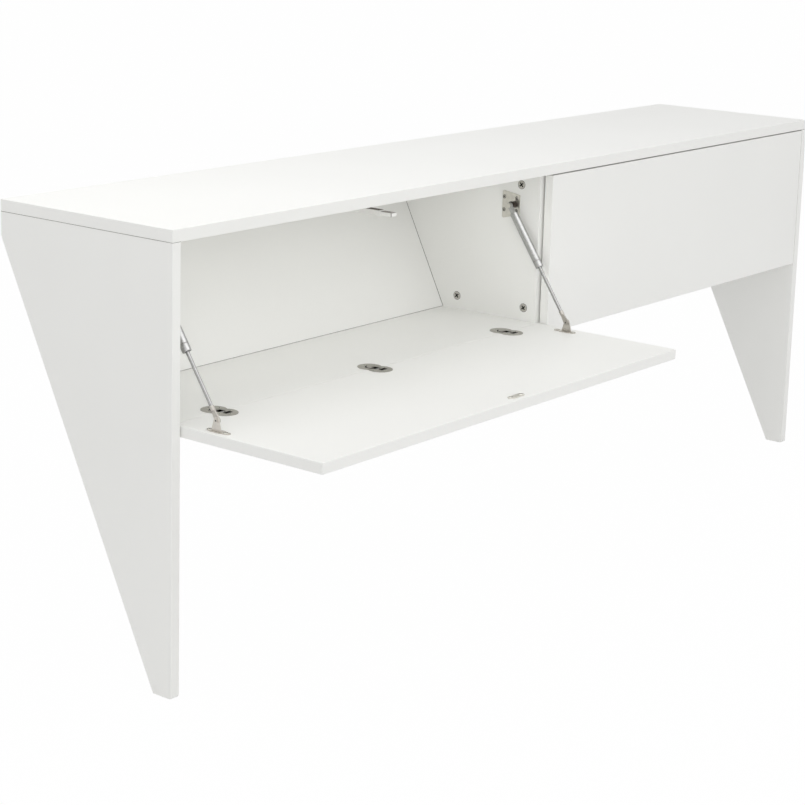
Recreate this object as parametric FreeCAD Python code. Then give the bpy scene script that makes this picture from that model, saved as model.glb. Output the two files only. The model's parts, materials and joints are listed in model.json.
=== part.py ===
"""Wall-held drop-front media console, in millimetres, +Z up.

X runs along the console from its middle, Y runs back to the wall at Y = 0, and the
console is drawn with Z = 0 on the floor, then lowered so that the origin lies on the
wall face of the mounting rail, halfway up it.
The left flap is drawn lying open and the right flap closed.
"""
import FreeCAD, Part
import math
import os

Vector = FreeCAD.Vector
X_AXIS = Vector(1, 0, 0)
Y_AXIS = Vector(0, 1, 0)
Z_AXIS = Vector(0, 0, 1)

# ---- overall sizes -----------------------------------------------------------
width = 2020.0
depth = 386.0
height = 750.0

# ---- boards ------------------------------------------------------------------
board = 18.0                 # sides, shelf, divider, back, rail and flaps
top_board = 20.0
edge_radius = 0.8            # eased edges of the boards
foot_depth = 40.0            # side panel where it meets the floor
foot_radius = 4.0
rail_height = 40.0           # upright part of the rear, flat on the wall
opening_height = 306.0       # underside of the shelf to underside of the top
divider_setback = 4.0        # divider behind the inner face of a closed flap

# ---- gaps round the flaps ------------------------------------------------------
flap_top_gap = 2.5
flap_side_gap = 2.0
flap_middle_gap = 3.0
hinge_gap = 1.0

# ---- flap hinges -----------------------------------------------------------------
hinge_inset = 105.0          # hinge centre from the end of its flap
cup_diameter = 35.0
cup_depth = 15.5
cup_setback = 11.5           # cup centre from the edge of its board
flange_diameter = 43.0       # rim of the cup, lying on the board
flange_thickness = 0.6
pocket_clearance = 0.1
link_width = 12.0
link_thickness = 4.2
link_eye_diameter = 5.6
link_clearance = 0.5         # each side of a link in its slot
link_inset = 8.0             # shelf pivot behind the shelf edge
pin_inset = 3.0              # flap pivot from both faces of the flap corner
hinge_pin_diameter = 2.4
pin_bite = 3.0               # pin in the cup wall, each side
running_clearance = 0.05
shelf_slot_length = 12.5
shelf_mouth_length = 9.0     # where the shelf cup is open at its face
shelf_lip = 3.5              # cup wall over the inner end of the slot
flap_slot_length = 9.0
flap_slot_depth = 8.2
window_distance = 15.5       # middle of the spring window from the flap edge
window_side = 2.0            # and beside the middle of the cup
window_width = 15.0
window_run = 5.5
window_depth = 6.0
groove_radius = 11.5         # curved groove in the face of the shelf cup
groove_width = 1.2
groove_depth = 0.8
groove_side = 2.0            # its centre beside the middle of the cup
groove_distance = 7.0        # its centre behind the shelf edge
groove_start = 95.0          # degrees
groove_sweep = 100.0
cup_screw_side = 12.5
cup_screw_run = 12.0         # third screw, behind the cup's middle

# ---- struts ------------------------------------------------------------------------
strut_offset = 18.0          # strut plane from the wall it is fixed to
strut_pivot_setback = 77.0   # upper pivot behind the front
strut_drop_share = 0.2125    # upper pivot below the top, of the opening height
bracket_reach_share = 0.26   # lower pivot from the hinge edge, of the opening height
bracket_rise = 18.2          # lower pivot above the inner face of the flap
closed_rod_gap = 11.0        # rod seen between cylinder and rod end when shut
cylinder_diameter = 15.0
cylinder_wall = 1.2
cylinder_shoulder = 16.0     # where the tube starts below the upper pivot
shoulder_radius = 2.0
cylinder_head = 22.0         # solid end below the upper pivot
cylinder_seal = 8.0
crimp_distance = 14.0
crimp_width = 1.6
crimp_depth = 0.5
eye_diameter = 11.0
eye_thickness = 6.0
neck_width = 8.0
stud_diameter = 6.0
stud_head_diameter = 8.5
stud_head_thickness = 1.8
spacer_diameter = 12.5
collar_diameter = 14.0       # end of the spacer that the eye runs against
collar_length = 3.0
washer_gap = 0.3
rod_diameter = 6.0
piston_length = 8.0
piston_margin = 4.0          # piston to seal when the strut is out
rod_end_length = 24.0
rod_end_width = 10.0
rod_end_thickness = 3.0
rod_end_neck = 8.0
rod_socket = 8.0             # neck of the rod end round the rod
blade_overlap = 2.0          # blade of the rod end into its neck
rivet_head_diameter = 6.6
rivet_head_thickness = 1.2
rivet_dimple_diameter = 3.0
rivet_dimple_depth = 0.8
open_pivot_clearance = 0.1   # between rod end and bracket ear

# ---- strut wall plate and flap bracket -----------------------------------------------
sheet = 2.0
plate_width = 39.8
plate_front_rise = 18.9      # corners above and below the upper pivot
plate_front_fall = 18.8
plate_rear_rise = 24.8
plate_rear_fall = 29.4
plate_lead = 10.8            # front edge of the plate ahead of the pivot
plate_corner = 3.0
plate_screw_rise = 12.3
plate_screw_front = 6.5      # from the front edge of the plate
plate_screw_rear = 4.5       # from its rear edge
bracket_sheet = 1.6
base_length = 46.0
base_skew = 2.5              # base towards its longer lobe
base_lobe = 10.0
base_waist = 14.0
ear_foot = 22.0
ear_radius = 5.5
bracket_screw_run = 17.0     # screws each side of the ear

# ---- push latch ------------------------------------------------------------------------
latch_shift = 14.0           # latch from the middle of its flap
latch_drop = 16.4            # latch centre line below the flap's free edge
housing_width = 17.0
housing_height = 9.6
housing_length = 74.0
housing_wall = 1.6
housing_radius = 1.5
housing_setback = 21.0
mount_start = 34.0
mount_length = 32.0
mount_width = 34.0
mount_plate = 3.0
mount_screw_inset = 4.5      # from the side edges of the holder
stem_inset = 2.0             # stem of the holder from the sides of the sleeve
plunger_clearance = 0.3
plunger_length = 60.0
plunger_tip_radius = 1.0
plunger_reach = 4.0          # tip in front of the console when released
strike_length = 40.0
strike_width = 12.0
strike_thickness = 1.5
strike_gap = 0.2
strike_screw_side = 14.0

# ---- connectors --------------------------------------------------------------------------
cam_diameter = 15.0
cam_depth = 12.5
cam_distance = 26.0
front_top_cam = 64.5         # cams behind the front of the console
front_bottom_cam = 49.5
rear_top_cam = 86.0          # cams ahead of the wall
rear_bottom_cam = 24.5       # cams ahead of the back panel
cam_slot_length = 7.0
cam_slot_width = 2.0
cam_slot_depth = 2.0
bolt_diameter = 6.0
bolt_bite = 11.0
bolt_head_diameter = 7.0
bolt_head_length = 3.0
bolt_hole_clearance = 0.3
dowel_diameter = 8.0
dowel_length = 30.0
dowel_end_gap = 1.0
dowel_bite = 10.0
dowel_setback = 130.0
back_dowel_inset = 40.0      # from the ends of the back panel's height
back_screw_inset = 30.0
screw_head_diameter = 7.0
screw_shank_diameter = 3.5
small_head_diameter = 5.0
small_shank_diameter = 2.5
plate_screw_length = 10.0    # short, as two plates share the divider back to back
screw_length = 14.0
cup_screw_length = 11.0
long_screw_length = 45.0
wall_hole_diameter = 7.0
wall_hole_inset = 110.0      # outer wall holes from the ends of the console
wall_hole_count = 4
touching = 0.01              # two things this close share a place

# ---- worked out from the above ---------------------------------------------------------
front = -depth
under_top = height - top_board
rail_bottom = under_top - rail_height
shelf_underside = under_top - opening_height
wall_hole_spacing = (width - 2 * wall_hole_inset) / (wall_hole_count - 1)
strut_pivot_height = under_top - strut_drop_share * opening_height
bracket_reach = bracket_reach_share * opening_height
rear_slope = (depth - foot_depth) / rail_bottom
lean = math.atan(rear_slope)
back_run = board / math.cos(lean)            # back panel measured along Y
shelf_top = shelf_underside + board
shelf_mid = shelf_underside + board / 2
flap_edge = front + board                     # hinge edge of an open flap
shelf_front = flap_edge + hinge_gap
divider_front = flap_edge + divider_setback
flap_height = under_top - flap_top_gap - shelf_underside
link_pivot = Vector(0, shelf_front + link_inset, shelf_mid)
flap_pivot = Vector(0, flap_edge - pin_inset, shelf_top - pin_inset)
turn_centre = Vector(0, front + board / 2, shelf_mid)
half_swing = math.degrees(math.atan2(flap_pivot.z - link_pivot.z, link_pivot.y - flap_pivot.y))
upper_pivot = Vector(0, front + strut_pivot_setback, strut_pivot_height)
open_lower_pivot = Vector(0, flap_edge - bracket_reach, shelf_top + bracket_rise)
closed_lower_pivot = Vector(0, flap_edge + bracket_rise, shelf_underside + bracket_reach)
open_reach = (open_lower_pivot - upper_pivot).Length
closed_reach = (closed_lower_pivot - upper_pivot).Length
cylinder_length = closed_reach - rod_end_length - closed_rod_gap
bore_diameter = cylinder_diameter - 2 * cylinder_wall
latch_height = shelf_underside + flap_height - latch_drop
plunger_width = housing_width - 2 * housing_wall - 2 * plunger_clearance
plunger_height = housing_height - 2 * housing_wall - 2 * plunger_clearance
origin = Vector(0, 0, rail_bottom + rail_height / 2)


def rear_face(z):
    """Y of the slanting rear of the side panels at height z."""
    return front + foot_depth + rear_slope * z


def back_face(z):
    """Y of the inner face of the back panel at height z."""
    return rear_face(z) - back_run


# ---- shapes --------------------------------------------------------------------------------
def box(x0, x1, y0, y1, z0, z1):
    return Part.makeBox(x1 - x0, y1 - y0, z1 - z0, Vector(x0, y0, z0))


def rod(start, direction, diameter, length):
    return Part.makeCylinder(diameter / 2, length, start, direction)


def slab_x(outline, x0, x1):
    """Prism along X over an outline of (y, z) points."""
    points = [Vector(x0, y, z) for y, z in outline]
    face = Part.Face(Part.makePolygon(points + points[:1]))
    return face.extrude(Vector(x1 - x0, 0, 0))


def eased(shape, radius, keep=lambda edge: True):
    """Round the edges that keep() accepts."""
    return shape.makeFillet(radius, [edge for edge in shape.Edges if keep(edge)])


def along(edge, axis):
    """True for a straight edge that runs along the axis."""
    ends = edge.Vertexes
    return (ends[1].Point - ends[0].Point).normalize().cross(axis).Length < touching


def only_solid(shape):
    """The one solid of a boolean result."""
    return shape.Solids[0]


def union(shapes):
    return only_solid(shapes[0].fuse(shapes[1:]).removeSplitter())


def drilled(shape, cutters):
    return only_solid(shape.cut(cutters))


def screw(tip, direction, head_diameter, shank_diameter, length):
    """Countersunk screw whose head lies flush at tip, pointing along direction."""
    cone_height = (head_diameter - shank_diameter) / 2
    head = Part.makeCone(head_diameter / 2, shank_diameter / 2, cone_height, tip, direction)
    shank_start = tip + direction * cone_height
    shank = rod(shank_start, direction, shank_diameter, length - cone_height)
    return union([head, shank])


# ---- connectors between boards -----------------------------------------------------------
class Connector:
    """Cam fitting in one board that draws a bolt out of the board it meets.

    face is the cam's centre on the board face, outward is that face's normal and
    towards is the way to the other board.
    """

    def __init__(self, face, outward, towards):
        inward = outward * -1
        axis_depth = board / 2
        centre = face + inward * axis_depth
        joint = centre + towards * cam_distance
        cam = rod(face, inward, cam_diameter, cam_depth)
        head_hole = rod(centre, towards, bolt_head_diameter + bolt_hole_clearance, cam_diameter)
        cross = [self.slot(face, inward, towards), self.slot(face, inward, outward.cross(towards))]
        self.cam = drilled(cam, [head_hole] + cross)
        shank = rod(centre + towards * bolt_head_length, towards, bolt_diameter,
                    cam_distance - bolt_head_length + bolt_bite)
        head = rod(centre + towards, towards, bolt_head_diameter, bolt_head_length)
        self.bolt = union([head, shank])
        self.cam_cut = rod(face, inward, cam_diameter + 2 * pocket_clearance, cam_depth)
        self.edge_cut = rod(centre, towards, bolt_head_diameter + bolt_hole_clearance, cam_distance)
        self.joint_cut = rod(joint, towards, bolt_diameter, bolt_bite)

    @staticmethod
    def slot(face, inward, run):
        side = inward.cross(run)
        corner = face - run * (cam_slot_length / 2) - side * (cam_slot_width / 2)
        outline = [corner, corner + run * cam_slot_length,
                   corner + run * cam_slot_length + side * cam_slot_width,
                   corner + side * cam_slot_width, corner]
        return Part.Face(Part.makePolygon(outline)).extrude(inward * cam_slot_depth)


def connectors_up(x_face, outward, places, joint_height, towards):
    """Connectors in an upright board, where it meets a level board at joint_height."""
    cam_height = joint_height - towards.z * cam_distance
    return [Connector(Vector(x_face, y, cam_height), outward, towards) for y in places]


def dowel(joint, direction, bite):
    """Dowel across a joint: bite in the board that direction points at."""
    start = joint + direction * bite - direction * dowel_length
    return rod(start, direction, dowel_diameter, dowel_length)


def dowel_cut(joint, direction, bite):
    length = dowel_length + 2 * dowel_end_gap
    start = joint + direction * (bite + dowel_end_gap) - direction * length
    return rod(start, direction, dowel_diameter, length)


# ---- places that repeat in both compartments ------------------------------------------------
class Compartment:
    """One half of the console: its clear width, its flap and the side of its own panel."""

    def __init__(self, name, outward, is_open):
        inner = outward * board / 2
        outer = outward * (width / 2 - board)
        self.name = name
        self.is_open = is_open
        self.low = min(inner, outer)
        self.high = max(inner, outer)
        flap_ends = (outward * flap_middle_gap / 2, outer - outward * flap_side_gap)
        self.flap_low = min(flap_ends)
        self.flap_high = max(flap_ends)
        middle = (self.flap_low + self.flap_high) / 2
        self.hinges = (self.flap_low + hinge_inset, middle, self.flap_high - hinge_inset)
        self.latch = middle + latch_shift
        self.struts = {"outer": (outer, -outward), "inner": (inner, outward)}

    def with_flap(self, shape):
        """Carry a shape drawn on the open flap to where the flap stands."""
        if not self.is_open:
            shape.rotate(turn_centre, X_AXIS, -90)
        return shape

    def with_links(self, shape):
        """Carry a shape drawn on the open hinge links to where the links stand."""
        if not self.is_open:
            shape.rotate(link_pivot, X_AXIS, 2 * half_swing)
        return shape

    def lower_pivot(self):
        return open_lower_pivot if self.is_open else closed_lower_pivot


left = Compartment("left", -1, True)
right = Compartment("right", 1, False)
compartments = (left, right)

top_cam_places = (front + front_top_cam, -rear_top_cam)
bottom_cam_places = (front + front_bottom_cam, back_face(shelf_underside) - rear_bottom_cam)

divider_foot_connectors = connectors_up(-board / 2, X_AXIS * -1, bottom_cam_places,
                                        shelf_top, Z_AXIS * -1)
divider_head_connectors = connectors_up(-board / 2, X_AXIS * -1, top_cam_places,
                                        under_top, Z_AXIS)
side_connectors = {
    part.name: connectors_up(outward * (width / 2 - board), X_AXIS * -outward,
                             top_cam_places, under_top, Z_AXIS)
    for part, outward in ((left, -1), (right, 1))}
shelf_connectors = {
    part.name: [Connector(Vector(outward * (width / 2 - board - cam_distance), y,
                                 shelf_underside), Z_AXIS * -1, X_AXIS * outward)
                for y in bottom_cam_places]
    for part, outward in ((left, -1), (right, 1))}
rail_connectors = {
    part.name: [Connector(Vector(outward * (width / 2 - board - cam_distance), -board, origin.z),
                          Y_AXIS * -1, X_AXIS * outward)]
    for part, outward in ((left, -1), (right, 1))}

top_dowels = [(Vector(x, front + dowel_setback, under_top), Z_AXIS)
              for x in (-width / 2 + board / 2, 0.0, width / 2 - board / 2)]
shelf_dowels = {
    part.name: [(Vector(outward * (width / 2 - board), front + dowel_setback, shelf_mid),
                 X_AXIS * outward)]
    for part, outward in ((left, -1), (right, 1))}
divider_dowels = [(Vector(0, front + dowel_setback, shelf_top), Z_AXIS * -1)]
back_dowel_heights = (shelf_top + back_dowel_inset, rail_bottom - back_dowel_inset)
back_dowels = {
    part.name: [(Vector(outward * (width / 2 - board), rear_face(z) - back_run / 2, z),
                 X_AXIS * outward) for z in back_dowel_heights]
    for part, outward in ((left, -1), (right, 1))}


# ---- boards ------------------------------------------------------------------------------------
def hinge_pockets(setback_y):
    """Round pockets for the hinge cups, open at the edge of their board."""
    return [rod(Vector(x, setback_y, shelf_top - cup_depth), Z_AXIS,
                cup_diameter + 2 * pocket_clearance, cup_depth)
            for part in compartments for x in part.hinges]


def make_top_panel():
    board_shape = eased(box(-width / 2, width / 2, front, 0, under_top, height), edge_radius)
    cuts = [c.joint_cut for c in divider_head_connectors]
    cuts += [c.joint_cut for group in side_connectors.values() for c in group]
    cuts += [dowel_cut(joint, way, dowel_bite) for joint, way in top_dowels]
    cuts += [cut for part in compartments for cut in latch_screws(part)]
    return drilled(board_shape, cuts)


def make_side_panel(part):
    outward = -1 if part is left else 1
    x0, x1 = sorted((outward * width / 2, outward * (width / 2 - board)))
    outline = [(front, 0), (front, under_top), (0, under_top), (0, rail_bottom),
               (front + foot_depth, 0)]
    panel = slab_x(outline, x0, x1)

    def at_foot(edge):
        return along(edge, X_AXIS) and edge.CenterOfMass.z < edge_radius

    panel = eased(panel, foot_radius, at_foot)
    panel = eased(panel, edge_radius, lambda edge: not along(edge, X_AXIS))
    cuts = [cut for c in side_connectors[part.name] for cut in (c.cam_cut, c.edge_cut)]
    cuts += [c.joint_cut for c in shelf_connectors[part.name] + rail_connectors[part.name]]
    pairs = shelf_dowels[part.name] + back_dowels[part.name]
    cuts += [dowel_cut(joint, way, dowel_bite) for joint, way in pairs]
    cuts += [dowel_cut(joint, way, dowel_bite) for joint, way in top_dowels]
    cuts += plate_screws(part, "outer")
    return drilled(panel, cuts)


def make_shelf():
    ends = width / 2 - board
    outline = [(shelf_front, shelf_underside), (back_face(shelf_underside), shelf_underside),
               (back_face(shelf_top), shelf_top), (shelf_front, shelf_top)]
    shelf = slab_x(outline, -ends, ends)

    def at_front(edge):
        return along(edge, X_AXIS) and edge.CenterOfMass.y < shelf_front + edge_radius

    shelf = eased(shelf, edge_radius, at_front)
    cuts = [cut for group in shelf_connectors.values() for c in group
            for cut in (c.cam_cut, c.edge_cut)]
    cuts += [c.joint_cut for c in divider_foot_connectors]
    pairs = [pair for group in shelf_dowels.values() for pair in group] + divider_dowels
    cuts += [dowel_cut(joint, way, dowel_bite) for joint, way in pairs]
    cuts += hinge_pockets(shelf_front + cup_setback)
    cuts += [cut for part in compartments for cut in shelf_cup_screws(part)]
    return drilled(shelf, cuts)


def make_divider():
    outline = [(divider_front, shelf_top), (back_face(shelf_top), shelf_top),
               (back_face(rail_bottom), rail_bottom), (-board, rail_bottom),
               (-board, under_top), (divider_front, under_top)]
    divider = slab_x(outline, -board / 2, board / 2)
    cuts = [cut for c in divider_foot_connectors + divider_head_connectors
            for cut in (c.cam_cut, c.edge_cut)]
    cuts += [dowel_cut(joint, way, dowel_bite) for joint, way in divider_dowels]
    cuts += [dowel_cut(joint, way, dowel_bite) for joint, way in top_dowels]
    cuts += back_screws()
    cuts += [cut for part in compartments for cut in plate_screws(part, "inner")]
    return drilled(divider, cuts)


def make_back_panel():
    ends = width / 2 - board
    outline = [(back_face(shelf_underside), shelf_underside),
               (rear_face(shelf_underside), shelf_underside),
               (rear_face(rail_bottom), rail_bottom), (back_face(rail_bottom), rail_bottom)]
    panel = slab_x(outline, -ends, ends)
    pairs = [pair for group in back_dowels.values() for pair in group]
    cuts = [dowel_cut(joint, way, dowel_bite) for joint, way in pairs]
    return drilled(panel, cuts + back_screws())


def make_wall_rail():
    ends = width / 2 - board
    rail = box(-ends, ends, -board, 0, rail_bottom, under_top)
    first = -wall_hole_spacing * (wall_hole_count - 1) / 2
    cuts = [rod(Vector(first + i * wall_hole_spacing, -board, origin.z), Y_AXIS,
                wall_hole_diameter, board) for i in range(wall_hole_count)]
    cuts += [cut for group in rail_connectors.values() for c in group
             for cut in (c.cam_cut, c.edge_cut)]
    return drilled(rail, cuts)


def make_flap(part):
    """Flap board with its cup pockets and screw holes, drawn open."""
    panel = eased(box(part.flap_low, part.flap_high, flap_edge - flap_height, flap_edge,
                      shelf_underside, shelf_top), edge_radius)
    cuts = [rod(Vector(x, flap_edge - cup_setback, shelf_top - cup_depth), Z_AXIS,
                cup_diameter + 2 * pocket_clearance, cup_depth) for x in part.hinges]
    cuts += flap_cup_screws(part) + bracket_screws(part) + strike_screws(part)
    return part.with_flap(drilled(panel, cuts))


# ---- connectors and screws as groups -------------------------------------------------------------
def every_connector():
    groups = [divider_foot_connectors, divider_head_connectors]
    for family in (side_connectors, shelf_connectors, rail_connectors):
        groups += family.values()
    return [c for group in groups for c in group]


def make_dowels():
    pairs = top_dowels + divider_dowels
    for family in (shelf_dowels, back_dowels):
        pairs += [pair for group in family.values() for pair in group]
    return [dowel(joint, way, dowel_bite) for joint, way in pairs]


def back_screws():
    """Screws through the back panel, square to it, into the divider."""
    inward = Vector(0, -math.cos(lean), math.sin(lean))
    heights = (shelf_top + back_screw_inset, (shelf_top + rail_bottom) / 2,
               rail_bottom - back_screw_inset)
    return [screw(Vector(0, rear_face(z), z), inward, screw_head_diameter,
                  screw_shank_diameter, long_screw_length) for z in heights]


# ---- flap hinges -------------------------------------------------------------------------------------
def cup_screws_at(x, y, away):
    """Three clamping screws of a cup whose middle is at x, y; away points from the seam."""
    places = [(x - cup_screw_side, y), (x + cup_screw_side, y), (x, y + away * cup_screw_run)]
    return [screw(Vector(px, py, shelf_top + flange_thickness), Z_AXIS * -1, small_head_diameter,
                  small_shank_diameter, cup_screw_length) for px, py in places]


def shelf_cup_screws(part):
    return [s for x in part.hinges for s in cup_screws_at(x, shelf_front + cup_setback, 1)]


def flap_cup_screws(part):
    return [s for x in part.hinges for s in cup_screws_at(x, flap_edge - cup_setback, -1)]


def hinge_pin(x, pivot, extra=0.0):
    """Pin across a link, into both walls of the cup; extra widens it into a bearing hole."""
    half = link_width / 2 + link_clearance + pin_bite + extra
    return rod(Vector(x - half, pivot.y, pivot.z), X_AXIS, hinge_pin_diameter + 2 * extra, 2 * half)


def cup_body(x, y):
    """Cup with the flat flange that covers the rim of its pocket."""
    cup = rod(Vector(x, y, shelf_top - cup_depth), Z_AXIS, cup_diameter, cup_depth)
    flange = rod(Vector(x, y, shelf_top), Z_AXIS, flange_diameter, flange_thickness)
    return union([cup, flange])


def slot(x, y0, y1, z0, z1):
    """Room for a link, as wide as the link and its clearance."""
    half = link_width / 2 + link_clearance
    return box(x - half, x + half, y0, y1, z0, z1)


def cup_groove(x):
    """Curved groove in the face of the shelf cup."""
    face = shelf_top + flange_thickness
    floor = Vector(x + groove_side, shelf_front + groove_distance, face - groove_depth)
    outer = Part.makeCylinder(groove_radius + groove_width / 2, groove_depth, floor, Z_AXIS,
                              groove_sweep)
    outer.rotate(floor, Z_AXIS, groove_start)
    return outer.cut(rod(floor, Z_AXIS, 2 * groove_radius - groove_width, groove_depth))


def make_shelf_cup(x):
    y = shelf_front + cup_setback
    beyond = box(x - flange_diameter, x + flange_diameter, front - flange_diameter, shelf_front,
                 0, height)
    mouth = slot(x, shelf_front, shelf_front + shelf_mouth_length, shelf_top - cup_depth,
                 shelf_top + flange_thickness)
    hollow = slot(x, shelf_front, shelf_front + shelf_slot_length, shelf_top - cup_depth,
                  shelf_top - shelf_lip)
    return drilled(cup_body(x, y), [beyond, mouth, hollow, cup_groove(x),
                                    hinge_pin(x, link_pivot, running_clearance)]
                   + cup_screws_at(x, y, 1))


def make_flap_cup(x):
    y = flap_edge - cup_setback
    top = shelf_top + flange_thickness
    beyond = box(x - flange_diameter, x + flange_diameter, flap_edge, 0, 0, height)
    mouth = slot(x, flap_edge - flap_slot_length, flap_edge, shelf_top - flap_slot_depth, top)
    window_x = x + window_side
    window_y = flap_edge - window_distance
    window = box(window_x - window_width / 2, window_x + window_width / 2,
                 window_y - window_run / 2, window_y + window_run / 2,
                 shelf_top - window_depth, top)
    return drilled(cup_body(x, y), [beyond, mouth, window,
                                    hinge_pin(x, flap_pivot, running_clearance)]
                   + cup_screws_at(x, y, -1))


def make_link(x):
    """Link with round ends from the shelf pivot to the flap pivot."""
    span = flap_pivot - link_pivot
    run = span.Length
    x0 = x - link_width / 2
    ends = [rod(Vector(x0, pivot.y, pivot.z), X_AXIS, link_eye_diameter, link_width)
            for pivot in (link_pivot, flap_pivot)]
    bar = Part.makeBox(link_width, run, link_thickness, Vector(x0, 0, -link_thickness / 2))
    bar.rotate(Vector(0, 0, 0), X_AXIS, math.degrees(math.atan2(span.z, span.y)))
    bar.translate(Vector(0, link_pivot.y, link_pivot.z))
    holes = [rod(Vector(x0, pivot.y, pivot.z), X_AXIS, hinge_pin_diameter, link_width)
             for pivot in (link_pivot, flap_pivot)]
    return drilled(union([bar] + ends), holes)


# ---- struts -------------------------------------------------------------------------------------------
def plate_outline():
    y0 = upper_pivot.y - plate_lead
    y1 = y0 + plate_width
    return [(y0, upper_pivot.z - plate_front_fall), (y1, upper_pivot.z - plate_rear_fall),
            (y1, upper_pivot.z + plate_rear_rise), (y0, upper_pivot.z + plate_front_rise)]


def plate_screws(part, place):
    """Four screws through the wall plate of a strut."""
    wall, inward = part.struts[place]
    plate_front = upper_pivot.y - plate_lead
    places = (plate_front + plate_screw_front, plate_front + plate_width - plate_screw_rear)
    return [screw(Vector(wall + inward * sheet, y, upper_pivot.z + side * plate_screw_rise),
                  X_AXIS * -inward, small_head_diameter, small_shank_diameter,
                  plate_screw_length)
            for y in places for side in (-1, 1)]


def make_wall_plate(part, place):
    """Screwed plate with the stud that the strut turns on."""
    wall, inward = part.struts[place]
    x0, x1 = sorted((wall, wall + inward * sheet))
    plate = eased(slab_x(plate_outline(), x0, x1), plate_corner, lambda edge: along(edge, X_AXIS))
    plate = drilled(plate, plate_screws(part, place))
    start = Vector(wall + inward * sheet, upper_pivot.y, upper_pivot.z)
    eye_side = strut_offset + eye_thickness / 2 + washer_gap
    stud = rod(start, X_AXIS * inward, stud_diameter, eye_side - sheet)
    head_start = Vector(wall + inward * eye_side, upper_pivot.y, upper_pivot.z)
    head = rod(head_start, X_AXIS * inward, stud_head_diameter, stud_head_thickness)
    return union([plate, stud, head])


def make_washer(part, place):
    """Spacer sleeve that keeps the eye of the strut off its wall plate."""
    wall, inward = part.struts[place]
    length = strut_offset - eye_thickness / 2 - washer_gap - sheet
    start = Vector(wall + inward * sheet, upper_pivot.y, upper_pivot.z)
    sleeve = rod(start, X_AXIS * inward, spacer_diameter, length)
    collar = rod(start + X_AXIS * (inward * (length - collar_length)), X_AXIS * inward,
                 collar_diameter, collar_length)
    return drilled(union([sleeve, collar]), [rod(start, X_AXIS * inward, stud_diameter, length)])


def set_strut(shape, part, place):
    """Carry a strut piece drawn hanging from the origin to its upper pivot and slant."""
    wall, inward = part.struts[place]
    span = part.lower_pivot() - upper_pivot
    shape.rotate(Vector(0, 0, 0), X_AXIS, math.degrees(math.atan2(span.y, -span.z)))
    shape.translate(Vector(wall + inward * strut_offset, upper_pivot.y, upper_pivot.z))
    return shape


def make_cylinder(part, place):
    down = Z_AXIS * -1
    tube = rod(down * cylinder_shoulder, down, cylinder_diameter,
               cylinder_length - cylinder_shoulder)
    for end, radius in ((cylinder_length, cylinder_wall), (cylinder_shoulder, shoulder_radius)):
        tube = eased(tube, radius, lambda edge: abs(edge.CenterOfMass.z + end) < touching)
    eye = rod(Vector(-eye_thickness / 2, 0, 0), X_AXIS, eye_diameter, eye_thickness)
    neck = box(-eye_thickness / 2, eye_thickness / 2, -neck_width / 2, neck_width / 2,
               -cylinder_shoulder - shoulder_radius, 0)
    eye_hole = rod(Vector(-eye_thickness, 0, 0), X_AXIS, stud_diameter + 2 * running_clearance,
                   2 * eye_thickness)
    bore_length = cylinder_length - cylinder_head - cylinder_seal
    bore = rod(down * cylinder_head, down, bore_diameter, bore_length)
    seal_hole = rod(down * (cylinder_head + bore_length), down,
                    rod_diameter + 2 * running_clearance, cylinder_seal)
    crimp_top = down * (cylinder_length - crimp_distance)
    crimp = rod(crimp_top, down, 2 * cylinder_diameter, crimp_width).cut(
        rod(crimp_top, down, cylinder_diameter - 2 * crimp_depth, crimp_width))
    whole = drilled(union([tube, neck, eye]), [eye_hole, bore, seal_hole, crimp])
    return set_strut(whole, part, place)


def strut_reach(part):
    return open_reach if part.is_open else closed_reach


def make_rod(part, place):
    """Piston rod from the piston to its socket in the rod end."""
    down = Z_AXIS * -1
    slack = open_reach - strut_reach(part)
    piston_top = cylinder_length - cylinder_seal - piston_margin - piston_length - slack
    socket_floor = strut_reach(part) - rod_end_length + rod_socket
    shaft = rod(down * piston_top, down, rod_diameter, socket_floor - piston_top)
    piston = rod(down * piston_top, down, bore_diameter - 2 * running_clearance, piston_length)
    return set_strut(union([shaft, piston]), part, place)


def rivet_head(start, direction):
    """Rivet head with a dimple in its middle."""
    head = rod(start, direction, rivet_head_diameter, rivet_head_thickness)
    floor = start + direction * (rivet_head_thickness - rivet_dimple_depth)
    return head.cut(rod(floor, direction, rivet_dimple_diameter, rivet_dimple_depth))


def make_rod_end(part, place):
    """Pressed end of the rod, flat at the lower pivot, with its rivet."""
    wall, inward = part.struts[place]
    reach = strut_reach(part)
    down = Z_AXIS * -1
    half = rod_end_thickness / 2
    top = -(reach - rod_end_length)
    neck = rod(down * (reach - rod_end_length), down, rod_end_neck, rod_socket)
    blade_top = top - rod_socket + blade_overlap
    outline = [(-rod_diameter / 2, blade_top), (rod_diameter / 2, blade_top),
               (rod_end_width / 2, -reach), (-rod_end_width / 2, -reach)]
    blade = slab_x(outline, -half, half)
    eye = rod(Vector(-half, 0, -reach), X_AXIS, rod_end_width, rod_end_thickness)
    socket = rod(down * (reach - rod_end_length), down, rod_diameter, rod_socket)
    body = drilled(union([neck, blade, eye]), [socket])
    head = rivet_head(Vector(inward * half, 0, -reach), X_AXIS * inward)
    return set_strut(union([body, head]), part, place)


def bracket_screws(part):
    """Two screws through the base of each flap bracket."""
    found = []
    for wall, inward in part.struts.values():
        x = wall + inward * strut_offset
        for side in (-1, 1):
            point = Vector(x, open_lower_pivot.y + side * bracket_screw_run,
                           shelf_top + bracket_sheet)
            found.append(screw(point, Z_AXIS * -1, small_head_diameter, small_shank_diameter,
                               screw_length))
    return found


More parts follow.
